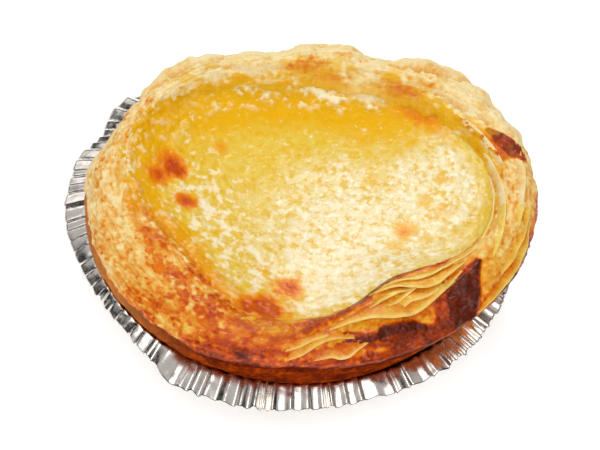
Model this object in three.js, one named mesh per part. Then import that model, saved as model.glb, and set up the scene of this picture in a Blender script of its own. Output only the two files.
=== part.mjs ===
// An egg tart in its pleated foil cup: a flaky pastry shell with a swollen, layered rim, filled with baked
// custard. Millimetres, +Z up, origin in the middle of the cup's flat floor. Azimuths are in degrees from +X
// towards +Y, so the front of the tart is at -90.
import * as THREE from "three";

// Uneven shapes are a sum of waves round the tart, [lobes, height, azimuth of a crest times lobes], and of
// swellings at one side of it, [azimuth, width in degrees, height].

// Foil cup
const FOIL_THICKNESS = 0.35;
const CUP_HEIGHT = 13;
const CUP_FLOOR_RADIUS = 24.6;
const CUP_HEEL = { radius: 26, height: 0.9 };
const CUP_MOUTH_RADIUS = 35.6;
const FLANGE_RADIUS = 39.5;
const FLANGE_WAVES = [
  [1, 0.8, -102],
  [2, 0.3, -47],
  [3, 0.54, 91],
  [4, 0.44, -41],
  [5, 0.25, 168],
  [6, 0.16, 55],
];
const FLANGE_PETAL = [[-115, 4, 0.9]];
const FLANGE_RISE = 0.5;
const PLEATS = 104;
const PLEAT_DEPTH = 0.62; // half of a pleat's height at the flange's edge
const PLEAT_FADE = { mouth: 0.7, wall: 0.55, heel: 0.2 }; // share of that depth further down
const PLEAT_DRIFT = [[7, 1.1, 0], [19, 0.5, -40]]; // degrees each fold strays from an even spacing
const PLEAT_UNEVEN = [[6, 0.15, -70], [16, 0.15, 70]];
const PLEATS_CRUSHED = [[152, 4, 0.8], [-116, 3, 0.8], [-61, 3, 0.8]];

// Pastry shell, from its underside up
const CLEARANCE = 0.34; // gap left between two pieces that touch
const SHELL_BASE = FOIL_THICKNESS + CLEARANCE;
const SHELL_FLOOR = 2.9; // thickness of the pastry under the custard
const SHELL_HEEL_INSET = 1.2;
const WALL_INSIDE_CUP = { radius: 33.5, height: CUP_HEIGHT - 0.7 };
const WALL_AT_MOUTH = { radius: 34.4, height: CUP_HEIGHT + 1.2 };
const FOOT = { radius: 36, height: CUP_HEIGHT + 1.6, spread: [[-98, 38, 1.1]] }; // spreads over the flange
const SKIRT = { inset: 0.5, height: 18.8, spread: [[-30, 25, 0.5]] }; // top of the lower layer
const CRACK = { depth: 0.5, height: 19.6, lip: 0.9, spread: [[-148, 40, 1], [-45, 35, 0.5]] };
const SHELL_COLUMNS = 104;

// Rim
const BELLY_RADIUS = 37.2;
const BELLY_WAVES = [[1, 1.13, -75], [2, 2.3, 44], [3, 0.35, 80]];
const BELLY_LUMPS = [
  [46, 7, 1.7],
  [75, 8, -1.2],
  [89, 7, 0.7],
  [112, 9, -0.7],
  [137, 8, 0.6],
  [165, 9, -0.8],
  [-178, 6, 0.9],
  [-112, 9, 0.6],
  [-88, 12, -0.5],
];
const BELLY_HEIGHT = 22.1;
const RIM_ROWS = 14;
const CREST_LIFT = 5.3; // how far the rim swells above its belly
const CREST_WAVES = [[3, 0.3, -50]];
const CREST_SWEEP = 0.86; // part of a half turn that the rim's arch runs through
const FLAKY_SIDE = [[-48, 30, 1]]; // here the crest sinks and moves in to the custard's edge
const FLAKY_SINK = 1.9;
const FLAKY_SKEW = 1.1;

// Leaves of pastry that lift out of the rim. Where each one's edge runs, in azimuths and in fractions of the
// rim's width from its belly (0) to the custard (1) at its start, middle and end, and how high it stands.
const LEAVES = [
  { from: -80, to: -8, across: [0.86, 1, 0.97], height: 0.9 },
  { from: -79, to: -50, across: [0.52, 0.87, 0.74], height: 1.4 },
  { from: -56, to: -13, across: [0.64, 0.6, 0.9], height: 1.6 },
  { from: -78, to: -41, across: [0.5, 0.54, 0.5], height: 1.2 },
  { from: -56, to: -24, across: [0.33, 0.42, 0.66], height: 1.3 },
  { from: -97, to: -66, across: [0.02, 0.4, 0.42], height: 0.9 },
  { from: 112, to: 150, across: [0.28, 0.42, 0.2], height: 0.8 },
  { from: 40, to: 86, across: [0.34, 0.2, 0.42], height: 1 },
  { from: -8, to: 46, across: [0.62, 0.7, 0.5], height: 0.6 },
  { from: 168, to: 238, across: [0.55, 0.45, 0.6], height: 0.5 },
];
const LEAF_STEP = 0.05; // fractions of the rim's width: a leaf's outer edge drops this fast
const LEAF_SLOPE = 0.16; // and its inner side sinks back this slowly
const CRUMB = { height: 0.24, folds: 1400, lobes: 13, wander: 80, wanderLobes: 5 };

// Custard and the cavity it fills
const MOUTH_RADIUS = 28.5; // the custard's edge
const MOUTH_WAVES = [[1, 1.3, 172], [2, 2.1, 34], [3, 1.6, 32], [4, 0.4, -53]];
const MOUTH_COVERED = [[-46, 16, -1.8]]; // where the rim's inner leaves lean over it
const MOUTH_HEIGHT = 22.5;
const MOUTH_TILT = [[2, 0.3, 0]];
const MOUTH_RAISED = [[-46, 24, 1.1]];
const CAVITY_LIP = { inset: 0.5, depth: 2.4 };
const CAVITY_KNEE = { radius: 26.6, height: 12 };
const CAVITY_FLOOR = { radius: 20.5, bevel: 1.1 };
const CUSTARD_MIDDLE_HEIGHT = 18.6;
const DISH_POWER = 3.2; // how flat the middle of the dish is
const CUSTARD_LUMPS = { height: 0.12, folds: 700, lobes: 5 };
const CUSTARD_ROWS = 9;
const CUSTARD_COLUMNS = 72;

// The tart stands a little askew in its cup: from the cup's mouth up, its axis leans over to this offset.
const CROWN_OFFSET = new THREE.Vector2(3, -1.5);
const LEAN_START = 14.5;
const LEAN_END = 21;

const { lerp, smoothstep, degToRad, euclideanModulo } = THREE.MathUtils;
const cosine = (degrees) => Math.cos(degToRad(degrees));

/** The angle in degrees from one azimuth to another, between -180 and 180. */
const turnFrom = (start, azimuth) => euclideanModulo(azimuth - start + 180, 360) - 180;

const bell = (azimuth, centre, width) => Math.exp(-((turnFrom(centre, azimuth) / width) ** 2));

/** The height of a sum of waves at an azimuth. */
const waves = (rows, azimuth) =>
  rows.reduce((sum, [lobes, height, crest]) => sum + height * cosine(lobes * azimuth - crest), 0);

/** The height of a sum of swellings at an azimuth. */
const swellings = (rows, azimuth) =>
  rows.reduce((sum, [centre, width, height]) => sum + height * bell(azimuth, centre, width), 0);

/** Where the tart's own axis stands at a height. */
const axisAt = (height) => CROWN_OFFSET.clone().multiplyScalar(smoothstep(height, LEAN_START, LEAN_END));

/**
 * A closed solid turned on a lathe, whose section of [radius, height] points changes with azimuth. The
 * section starts and ends on the axis and runs out along the underside, up the outside and back over the top.
 */
function turned(columns, section, azimuthOf = (column) => (360 * column) / columns) {
  const profile = section(azimuthOf(0), 0).map(([radius, height]) => new THREE.Vector2(radius, height));
  const geometry = new THREE.LatheGeometry(profile, columns);
  const position = geometry.getAttribute("position");
  for (let column = 0; column <= columns; column += 1) {
    const azimuth = azimuthOf(column % columns);
    const direction = new THREE.Vector2(cosine(azimuth), cosine(azimuth - 90));
    section(azimuth, column % columns).forEach(([radius, height], row) => {
      const point = axisAt(height).addScaledVector(direction, radius);
      position.setXYZ(column * profile.length + row, point.x, point.y, height);
    });
  }
  geometry.computeVertexNormals();
  return geometry;
}

/** The foil cup: a flat floor, a pleated wall, and a pleated flange that is pressed out almost flat. */
function foilCup() {
  const columns = 2 * PLEATS;
  const foldAzimuth = (column) => {
    const even = (360 * column) / columns;
    return even + waves(PLEAT_DRIFT, even);
  };
  const wallLean = Math.atan2(CUP_MOUTH_RADIUS - CUP_HEEL.radius, CUP_HEIGHT);
  const flangeRadius = (azimuth) =>
    FLANGE_RADIUS + waves(FLANGE_WAVES, azimuth) + swellings(FLANGE_PETAL, azimuth);

  // One face of the foil from the flange's edge in to the axis, raised above the underside by an offset. On
  // the flange a fold stands up, and on the wall it stands out.
  const face = (azimuth, column, offset) => {
    const uneven = (1 + waves(PLEAT_UNEVEN, azimuth)) * (1 - swellings(PLEATS_CRUSHED, azimuth));
    const fold = (column % 2 ? 1 : -1) * PLEAT_DEPTH * uneven;
    const onWall = (radius, height, fade) => {
      const out = fold * fade - offset;
      return [radius + out * Math.cos(wallLean), height - out * Math.sin(wallLean)];
    };
    return [
      [flangeRadius(azimuth), CUP_HEIGHT + FLANGE_RISE + fold + offset],
      [CUP_MOUTH_RADIUS - offset, CUP_HEIGHT + PLEAT_FADE.mouth * fold + offset],
      onWall(lerp(CUP_HEEL.radius, CUP_MOUTH_RADIUS, 0.5), CUP_HEIGHT / 2, PLEAT_FADE.wall),
      onWall(CUP_HEEL.radius, CUP_HEEL.height, PLEAT_FADE.heel),
      [CUP_FLOOR_RADIUS - offset, offset],
      [0, offset],
    ];
  };
  const section = (azimuth, column) => [
    ...face(azimuth, column, 0).reverse(),
    ...face(azimuth, column, FOIL_THICKNESS),
  ];
  return turned(columns, section, foldAzimuth);
}

const bellyRadius = (azimuth) =>
  BELLY_RADIUS + waves(BELLY_WAVES, azimuth) + swellings(BELLY_LUMPS, azimuth);

const mouthRadius = (azimuth) =>
  MOUTH_RADIUS + waves(MOUTH_WAVES, azimuth) + swellings(MOUTH_COVERED, azimuth);

const mouthHeight = (azimuth) =>
  MOUTH_HEIGHT + waves(MOUTH_TILT, azimuth) + swellings(MOUTH_RAISED, azimuth);

/** How far the leaves and crumbs stand out of the rim, at a fraction of its width. */
function rimRelief(azimuth, across) {
  const wander = CRUMB.wander * cosine(CRUMB.wanderLobes * azimuth);
  let relief = CRUMB.height * cosine(CRUMB.folds * across + wander) * cosine(CRUMB.lobes * azimuth + wander);
  for (const leaf of LEAVES) {
    const along = turnFrom(leaf.from, azimuth) / (leaf.to - leaf.from);
    if (along <= 0 || along >= 1) continue;
    const [start, middle, end] = leaf.across;
    const edge = lerp(start, end, along) + 2 * (2 * middle - start - end) * along * (1 - along);
    const beyond = across - edge;
    const standing = Math.exp(beyond < 0 ? beyond / LEAF_STEP : -beyond / LEAF_SLOPE);
    relief += leaf.height * Math.sqrt(Math.sin(Math.PI * along)) * standing;
  }
  return relief;
}

/** The rim's arch, from its belly over the crest to the custard's edge, as [radius, height]. */
function rimArch(azimuth) {
  const belly = bellyRadius(azimuth);
  const width = belly - mouthRadius(azimuth);
  const flaky = swellings(FLAKY_SIDE, azimuth);
  const lift = CREST_LIFT - FLAKY_SINK * flaky + waves(CREST_WAVES, azimuth);
  const sweep = Math.PI * CREST_SWEEP;
  const points = [];
  for (let row = 1; row < RIM_ROWS; row += 1) {
    const angle = (sweep * row) / RIM_ROWS;
    const even = (1 - Math.cos(angle)) / (1 - Math.cos(sweep));
    const across = even ** (1 / (1 + FLAKY_SKEW * flaky));
    const arch = lift * (Math.sin(angle) - Math.sin(sweep) * even);
    const fade = Math.min(1, 0.4 + 3 * across, 6 * (1 - across)); // the relief dies out at both edges
    const relief = fade * rimRelief(azimuth, across);
    const radius = belly - width * across + 0.5 * relief * Math.cos(angle);
    points.push([radius, lerp(BELLY_HEIGHT, mouthHeight(azimuth), even) + arch + relief]);
  }
  return points;
}

/** The cavity from the custard's edge down to the pastry's floor, or its filling, set in by a gap. */
function cavity(azimuth, gap) {
  const edge = mouthRadius(azimuth) - gap;
  const floor = SHELL_BASE + SHELL_FLOOR + gap;
  return [
    [edge, mouthHeight(azimuth)],
    [edge - CAVITY_LIP.inset, mouthHeight(azimuth) - CAVITY_LIP.depth],
    [CAVITY_KNEE.radius - gap, CAVITY_KNEE.height],
    [CAVITY_FLOOR.radius + CAVITY_FLOOR.bevel - gap, floor + CAVITY_FLOOR.bevel],
    [CAVITY_FLOOR.radius - gap, floor],
    [0, floor],
  ];
}

/** The pastry shell: plain inside the cup, then the skirt, the crack and the swollen rim. */
function pastryShell() {
  return turned(SHELL_COLUMNS, (azimuth) => {
    const belly = bellyRadius(azimuth);
    const foot = FOOT.radius + swellings(FOOT.spread, azimuth);
    const skirt = belly - SKIRT.inset + swellings(SKIRT.spread, azimuth);
    const crack = CRACK.depth + swellings(CRACK.spread, azimuth);
    const heel = CUP_HEEL.radius - SHELL_HEEL_INSET;
    return [
      [0, SHELL_BASE],
      [CUP_FLOOR_RADIUS - SHELL_HEEL_INSET, SHELL_BASE],
      [heel, SHELL_BASE + 1],
      [lerp(heel, WALL_INSIDE_CUP.radius, 0.5), lerp(SHELL_BASE + 1, WALL_INSIDE_CUP.height, 0.5)],
      [WALL_INSIDE_CUP.radius, WALL_INSIDE_CUP.height],
      [WALL_AT_MOUTH.radius, WALL_AT_MOUTH.height],
      [foot, FOOT.height],
      [lerp(foot, skirt, 0.7), lerp(FOOT.height, SKIRT.height, 0.5)],
      [skirt, SKIRT.height],
      [skirt - crack, CRACK.height],
      [belly - SKIRT.inset, CRACK.height + CRACK.lip],
      [belly, BELLY_HEIGHT],
      ...rimArch(azimuth),
      ...cavity(azimuth, 0),
    ];
  });
}

/** The custard: fills the cavity and sinks to a shallow, slightly lumpy dish in the middle. */
function custard() {
  return turned(CUSTARD_COLUMNS, (azimuth) => {
    const body = cavity(azimuth, CLEARANCE).reverse();
    const [edgeRadius, edgeHeight] = body.at(-1);
    const surface = [];
    for (let row = CUSTARD_ROWS - 1; row > 0; row -= 1) {
      const share = row / CUSTARD_ROWS;
      const dish = lerp(CUSTARD_MIDDLE_HEIGHT, edgeHeight, share ** DISH_POWER);
      const lump = cosine(CUSTARD_LUMPS.lobes * azimuth + CUSTARD_LUMPS.folds * share);
      const lumpiness = 4 * CUSTARD_LUMPS.height * share * (1 - share);
      surface.push([edgeRadius * share, dish + lumpiness * lump]);
    }
    return [...body, ...surface, [0, CUSTARD_MIDDLE_HEIGHT]];
  });
}

function piece(name, geometry, color, roughness, metalness) {
  const mesh = new THREE.Mesh(geometry, new THREE.MeshStandardMaterial({ color, roughness, metalness }));
  mesh.name = name;
  return mesh;
}

const eggTart = new THREE.Group();
eggTart.add(
  piece("foil_cup", foilCup(), 0xd9d9dc, 0.28, 1),
  piece("pastry_shell", pastryShell(), 0xd9974a, 0.6, 0),
  piece("egg_custard", custard(), 0xf4d760, 0.3, 0),
);

export default eggTart;
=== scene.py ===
import math

import bmesh
import bpy
import numpy as np
from mathutils import Matrix, Vector, noise


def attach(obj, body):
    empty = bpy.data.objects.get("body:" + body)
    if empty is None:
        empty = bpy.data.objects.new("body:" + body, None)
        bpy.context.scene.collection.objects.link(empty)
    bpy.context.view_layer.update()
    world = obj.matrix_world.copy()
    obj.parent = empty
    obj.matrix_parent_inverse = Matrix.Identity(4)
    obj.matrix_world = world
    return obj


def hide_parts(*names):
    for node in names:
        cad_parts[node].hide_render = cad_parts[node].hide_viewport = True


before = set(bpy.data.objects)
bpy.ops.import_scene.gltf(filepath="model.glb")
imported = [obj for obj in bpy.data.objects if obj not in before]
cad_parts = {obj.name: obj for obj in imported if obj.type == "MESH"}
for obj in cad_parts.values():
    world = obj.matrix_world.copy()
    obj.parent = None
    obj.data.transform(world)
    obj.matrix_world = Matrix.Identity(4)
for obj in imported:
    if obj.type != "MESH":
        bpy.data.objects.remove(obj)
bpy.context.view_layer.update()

# ----------------------------------------------------------------------------------------------------------
# The foil cup. Thin aluminium foil, pressed between ribbed dies into a flat floor, a pleated wall and a
# flange. Handling has pinched the flange's pleats, so that some lie wide and some are narrow, steep folds.

MM = 0.001  # sizes are in millimetres, azimuths in degrees from +X towards +Y
FOIL_THICKNESS = 0.09
CUP_HEIGHT = 13.0
CUP_FLOOR_RADIUS = 24.6
CUP_HEEL_RADIUS = 26.0
CUP_MOUTH_RADIUS = 35.6
FLANGE_RADIUS = 39.4
FLANGE_WAVES = [(1, 0.8, -102), (2, 0.3, -47), (3, 0.54, 91), (4, 0.44, -41), (5, 0.25, 168), (6, 0.16, 55)]
FLANGE_PETAL = [(-115, 4, 0.9), (-132, 14, -0.7), (-40, 24, 1.1), (145, 7, 1.5), (158, 5, -1.0)]
FLANGE_ROLL = [(35.4, 12.7), (35.6, 13.3), (35.8, 13.75), (36.15, 14.05)]  # where the wall turns outwards
FLANGE_FALL = 1.9
FLANGE_FLAT = [(-40, 20, 1.2)]
PLEATS = 104
PLEAT_DEPTH = 0.56
PLEAT_DRIFT = [(7, 1.1, 0), (19, 0.5, -40)]
PLEATS_CRUSHED = [(174, 30, 0.4), (152, 4, 0.3), (-116, 3, 0.8), (-61, 3, 0.8), (-152, 20, 0.3)]
FOIL_COLUMNS = 1248
FOIL_STANDS = 0.06  # how high the middle of the foil's thickness lies over the table


def cosine(degrees):
    return np.cos(np.radians(degrees))


def turn_from(start, azimuth):
    """The angle in degrees from one azimuth to another, between -180 and 180."""
    return (azimuth - start + 180) % 360 - 180


def bell(azimuth, centre, width):
    """A smooth hump that is 1 at its centre and fades over a width in degrees."""
    return np.exp(-((turn_from(centre, azimuth) / width) ** 2))


def waves(rows, azimuth):
    """The height at an azimuth of waves round the tart, each (lobes, height, phase in degrees)."""
    return sum(height * cosine(lobes * azimuth - crest) for lobes, height, crest in rows)


def swellings(rows, azimuth):
    """The height at an azimuth of swellings at one side, each (azimuth, width in degrees, height)."""
    return sum(height * bell(azimuth, centre, width) for centre, width, height in rows)


def blend(start, end, share):
    return start + (end - start) * share


def smooth_step(value, low, high):
    share = np.clip((value - low) / (high - low), 0, 1)
    return share * share * (3 - 2 * share)


def add_sheet(shape, points, masks, rolled):
    """Adds a grid whose vertices are moved to points[row, column], in millimetres, and given their masks.
    A rolled one's last column meets its first, and a row on the axis closes into a pole."""
    rows, columns = points.shape[:2]
    turns = columns if rolled else columns - 1
    floats = shape.verts.layers.float
    layers = {name: floats.get(name) or floats.new(name) for name in masks}
    made = bmesh.ops.create_grid(shape, x_segments=turns, y_segments=rows - 1, size=1)["verts"]
    for vert in made:
        row = round((vert.co.y + 1) / 2 * (rows - 1))
        column = round((vert.co.x + 1) / 2 * turns) % columns
        for name, layer in layers.items():
            vert[layer] = masks[name][row, column]
        vert.co = Vector(points[row, column]) * MM
    if rolled:
        bmesh.ops.remove_doubles(shape, verts=shape.verts, dist=0.0005 * MM)


def rolled_shell(points, masks):
    shell = bmesh.new()
    add_sheet(shell, points, masks, True)
    return shell


def finished(name, shell, material, node):
    """Turns a shell into a smooth piece that rides on the frame and stands for a CAD node."""
    bmesh.ops.recalc_face_normals(shell, faces=shell.faces)
    for face in shell.faces:
        face.smooth = True
    mesh = bpy.data.meshes.new(name)
    shell.to_mesh(mesh)
    shell.free()
    mesh.materials.append(material)
    piece = bpy.data.objects.new(name, mesh)
    bpy.context.scene.collection.objects.link(piece)
    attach(piece, "root")
    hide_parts(node)
    return piece


def colour(hex_code):
    """A linear colour with alpha from an sRGB hex value."""
    channels = [int(hex_code[place : place + 2], 16) / 255 for place in (1, 3, 5)]
    return [c / 12.92 if c <= 0.04045 else ((c + 0.055) / 1.055) ** 2.4 for c in channels] + [1.0]


def add_node(tree, kind, inputs=None, stops=None, **settings):
    """Adds a node to a tree, with its settings, its inputs as values or links, and a ramp's stops."""
    made = tree.nodes.new(kind)
    for name, value in settings.items():
        setattr(made, name, value)
    for name, value in (inputs or {}).items():
        if isinstance(value, bpy.types.NodeSocket):
            tree.links.new(value, made.inputs[name])
        else:
            made.inputs[name].default_value = value
    for place, (position, hex_code) in enumerate(stops or []):
        ramp = made.color_ramp.elements
        stop = ramp[place] if place < 2 else ramp.new(position)
        stop.position = position
        stop.color = colour(hex_code)
    return made


def new_material(name):
    """An empty node material and its tree, with the output node in it."""
    material = bpy.data.materials.new(name)
    material.use_nodes = True
    material.node_tree.nodes.clear()
    return material, material.node_tree


def speckle(tree, place, size, detail, roughness):
    """A noise with lumps of a size in millimetres, from 0 to 1."""
    settings = {"Vector": place, "Scale": 1 / (size * MM), "Detail": detail, "Roughness": roughness}
    return add_node(tree, "ShaderNodeTexNoise", settings).outputs["Fac"]


# Bright-annealed aluminium foil: mirror-like, with the faint crinkles that handling leaves in it.
FOIL_CRINKLE = 1.4
pressed_aluminium_foil, tree = new_material("pressed_aluminium_foil")
place = add_node(tree, "ShaderNodeTexCoord").outputs["Object"]
crinkle = speckle(tree, place, FOIL_CRINKLE, 3.0, 0.55)
dulled = add_node(
    tree,
    "ShaderNodeMapRange",
    {"Value": crinkle, "From Min": 0.3, "From Max": 0.7, "To Min": 0.16, "To Max": 0.32},
).outputs["Result"]
raised = add_node(
    tree, "ShaderNodeBump", {"Height": crinkle, "Strength": 0.28, "Distance": 0.06 * MM}
).outputs["Normal"]
# Its base colour is warmed a little: a painted reflection, standing in for the brown crust that the foil
# mirrors.
metal = add_node(
    tree,
    "ShaderNodeBsdfPrincipled",
    {"Base Color": colour("#F3EBE3"), "Metallic": 1.0, "Roughness": dulled, "Normal": raised},
).outputs["BSDF"]
add_node(tree, "ShaderNodeOutputMaterial", {"Surface": metal})

# Each pleat has a valley and a crest of its own, unevenly spaced and of uneven height.
dice = np.random.default_rng(11)
pleat = np.arange(PLEATS)
valley = 360 / PLEATS * (pleat + dice.uniform(-0.22, 0.22, PLEATS))
next_valley = np.append(valley[1:], valley[0] + 360)
leaning = dice.choice([0.22, 0.3, 0.5, 0.7, 0.78], PLEATS)
leaning = np.where(cosine(valley - 200) > 0.3, 0.28 + 0.25 * leaning, leaning)
crest = valley + (next_valley - valley) * leaning
crease = np.column_stack([valley, crest]).ravel()
crease += waves(PLEAT_DRIFT, crease)
valley_depth = dice.uniform(0.4, 1, PLEATS)
crest_height = dice.uniform(0.35, 1, PLEATS)
crease_reach = dice.uniform(-0.5, 0, 2 * PLEATS)

azimuth = np.arange(FOIL_COLUMNS) * 360 / FOIL_COLUMNS
turns = np.interp(azimuth, np.append(crease - 360, crease), np.arange(4 * PLEATS) / 2 - PLEATS)
folded = 1 - np.abs(2 * (turns % 1) - 1)
folded = blend(folded, folded * folded * (3 - 2 * folded), 0.35)
lowest = -np.interp(turns % PLEATS, np.arange(PLEATS + 1), np.append(valley_depth, valley_depth[0]))
pleat_height = blend(lowest, crest_height[np.floor(turns).astype(int) % PLEATS], folded)
pinched = np.abs(2 * (2 * turns % 1) - 1) - 0.5
pleat_height += 0.35 * pinched * smooth_step(cosine(5 * azimuth + 40), 0.0, 0.5)
pleat_height *= PLEAT_DEPTH * (1 - swellings(PLEATS_CRUSHED, azimuth))
reach = np.interp(azimuth, crease, crease_reach, period=360)
edge_radius = FLANGE_RADIUS + waves(FLANGE_WAVES, azimuth) + swellings(FLANGE_PETAL, azimuth) + reach

wall_lean = math.degrees(math.atan2(CUP_MOUTH_RADIUS - CUP_HEEL_RADIUS, CUP_HEIGHT))
section = [(CUP_FLOOR_RADIUS * share, 0.0, 0.0, 90.0) for share in (0, 0.4, 0.8, 1)]
section += [(CUP_FLOOR_RADIUS + 0.8, 0.15, 0.05, 70.0)]
for share in np.linspace(0, 1, 12):
    radius = CUP_HEEL_RADIUS + (CUP_MOUTH_RADIUS - 0.6 - CUP_HEEL_RADIUS) * share
    section.append((radius, 0.9 + (CUP_HEIGHT - 1.6) * share, 0.4 + 0.65 * share, 180.0 - wall_lean))
section += [(radius, height, 0.7, 140.0 - 17 * row) for row, (radius, height) in enumerate(FLANGE_ROLL)]
inner_rows = len(section)
FLANGE_ROWS = 12
rows = []
for radius, height, share, turn in section:
    out = pleat_height * share
    rows.append((radius + out * cosine(turn), height + out * cosine(turn - 90)))
roll_radius, roll_height = FLANGE_ROLL[-1]
for step in range(1, FLANGE_ROWS + 1):
    share = step / FLANGE_ROWS
    fall = (FLANGE_FALL - swellings(FLANGE_FLAT, azimuth)) * share**1.15
    height = roll_height - fall + pleat_height * (0.7 + 0.45 * share)
    rows.append((blend(roll_radius, edge_radius, share), height))
points = np.array([(r * cosine(azimuth), r * cosine(azimuth - 90), h + 0 * azimuth) for r, h in rows])
points = points.transpose(0, 2, 1)
# Broad dents, then fine crumples: how many rows inside the flange they start, their size, noise and depth.
CREASES = [(8, 4.5, (0.8, 2.2, 3), 0.14), (4, 1.7, (0.9, 2.1, 2), 0.02)]
for rows_inside, size, noise_settings, depth in CREASES:
    creased = points[inner_rows - rows_inside :]
    relief = [[noise.fractal(Vector(p) / size, *noise_settings) for p in row] for row in creased]
    creased[..., 2] += depth * np.array(relief)
points[..., 2] += FOIL_STANDS

foil = finished("pleated_foil_cup", rolled_shell(points, {}), pressed_aluminium_foil, "foil_cup")
sheet = foil.modifiers.new("thickness", "SOLIDIFY")
sheet.thickness = FOIL_THICKNESS * MM
sheet.offset = 0

# ----------------------------------------------------------------------------------------------------------
# The pastry shell. Puff pastry, rolled and folded with butter, pressed into the foil and baked: its edge
# has swollen into a rim of leaves that open towards the front, crisp, glazed with egg, scorched in places.

SHELL_COLUMNS = 640
FOOT_RADIUS = 35.2
FOOT_HEIGHT = 14.5
FOOT_SPREAD = [(-88, 40, 1.0), (-172, 24, 0.4)]
SKIRT_INSET = 0.6
SKIRT_HEIGHT = 18.8
SKIRT_SPREAD = [(-150, 34, -0.9), (176, 24, -0.7)]
CRACK_DEPTH = 0.15
CRACK_HEIGHT = 19.6
CRACK_SPREAD = [(-150, 34, 1.3)]
BELLY_RADIUS = 37.2
BELLY_WAVES = [(1, 1.13, -75), (2, 2.3, 44), (3, 0.35, 80)]
BELLY_LUMPS = [
    (-4, 12, -0.25),
    (46, 7, 1.5), (75, 8, -1.7), (89, 7, 0.7), (110, 9, -1.7), (134, 9, 1.0),
    (165, 9, -0.8), (-178, 6, 0.9), (-112, 9, 0.6), (-88, 12, -0.5),
]
BELLY_HEIGHT = 22.1
RIM_ROWS = 108
CREST_LIFT = 5.1
CREST_WAVES = [(3, 0.3, -50)]
CREST_LOWERED = [(-135, 34, 2.2)]
CREST_SWEEP = 0.86
BLISTERED = [(-158, 9, 0.8), (-142, 14, 1), (-122, 16, 1), (-102, 12, 0.7)]
LEAFY = [(-58, 30, 1), (-34, 18, 0.8)]  # where the leaves leave the crust between them smooth
FLAKY_SIDE = [(-48, 30, 1)]
FLAKY_SINK = 1.9
FLAKY_SKEW = 1.1
MOUTH_RADIUS = 28.5
MOUTH_WAVES = [(1, 1.3, 172), (2, 2.1, 34), (3, 1.6, 32), (4, 0.4, -53)]
MOUTH_COVERED = [(-46, 16, -1.8), (102, 38, -3.0), (-136, 28, -4.6)]
MOUTH_HEIGHT = 22.5
MOUTH_TILT = [(2, 0.3, 0)]
MOUTH_RAISED = [(-46, 24, 1.1), (-135, 32, 1.6), (172, 32, 1.7), (100, 36, 0.7)]
CROWN_OFFSET = (3.0, -1.5)  # the tart stands a little askew in its cup
LEAN_START = 14.5
LEAN_END = 21.0
MM_PER_DEGREE = 0.63  # along the rim
RIM_WIDTH = 11  # from the belly over to the custard
RIM_MIDDLE_RADIUS = 35

# Leaves of pastry: the azimuths and the places across the rim, from its belly (0) to the custard (1), that
# a leaf's free edge runs through, how far the leaf reaches inwards from there, how high its edge stands, and
# how brown it is, from pale dough (0) to scorched (1).
LEAVES = [
    (
        ((-64, 0.92), (-55, 0.78), (-50, 0.72), (-44, 0.57), (-39, 0.55), (-34, 0.6), (-26, 0.66)),
        0.2, 0.8, 0.27,
    ),
    (((-57, 0.9), (-50, 0.82), (-44, 0.72), (-38, 0.7), (-30, 0.74), (-18, 0.72)), 0.12, 0.6, 0.2),
    (
        (
            (-81, 0.46), (-72, 0.54), (-66, 0.51), (-62, 0.44), (-57, 0.38), (-53, 0.35), (-48, 0.36),
            (-39, 0.45), (-32, 0.5),
        ),
        0.3, 0.75, 0.32,
    ),
    (((-59, 0.42), (-56, 0.47), (-51, 0.51), (-48, 0.48), (-42, 0.47), (-36, 0.54)), 0.18, 0.6, 0.28),
    (((-92, 0.02), (-88, 0.08), (-85, 0.19), (-82, 0.28), (-78, 0.32), (-72, 0.29)), 0.27, 0.4, 0.42),
    (((-93, 0.12), (-89, 0.19), (-86, 0.28), (-83, 0.34), (-78, 0.4)), 0.22, 0.35, 0.4),
    (((-85, 0.03), (-80, 0.08), (-78, 0.05), (-75, 0.07), (-73, 0.14), (-69, 0.22)), 0.24, 0.4, 0.42),
    (((-61, 0.6), (-55, 0.57), (-50, 0.6), (-45, 0.65), (-40, 0.64)), 0.1, 0.4, 0.3),
    (((-52, 0.43), (-45, 0.4), (-38, 0.46), (-29, 0.57)), 0.12, 0.4, 0.3),
    (((-68, 0.66), (-61, 0.68), (-54, 0.68), (-48, 0.64), (-42, 0.62)), 0.12, 0.45, 0.28),
    (((154, 0.1), (140, 0.14), (132, 0.18), (124, 0.16)), 0.3, 0.9, 0.1),
    (((70, 0.3), (62, 0.16), (56, 0.08), (47, 0.1)), 0.3, 1.0, 0.14),
    (((52, 0.62), (44, 0.58), (40, 0.53), (36, 0.47), (30, 0.46)), 0.2, 0.35, 0.14),
    (((40, 0.76), (34, 0.72), (26, 0.7), (16, 0.66)), 0.2, 0.3, 0.12),
    (((24, 0.86), (14, 0.8), (2, 0.7), (-12, 0.5), (-20, 0.4)), 0.2, 0.3, 0.12),
    (((16, 0.94), (4, 0.9), (-8, 0.84), (-18, 0.78)), 0.15, 0.25, 0.12),
    (((-36, 0.0), (-26, 0.02), (-14, 0.04), (-2, 0.1)), 0.12, 0.3, 0.32),
    (((-24, 0.14), (-14, 0.13), (-4, 0.16), (8, 0.26)), 0.12, 0.25, 0.26),
    (((30, 0.1), (16, 0.3), (4, 0.34), (-8, 0.28)), 0.2, 0.3, 0.14),
]
LEAF_THICKNESS = 0.28
LEAF_TUCK = 0.35  # how deep a leaf's root lies in the rim
LEAF_STEPS = (90, 14)

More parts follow.
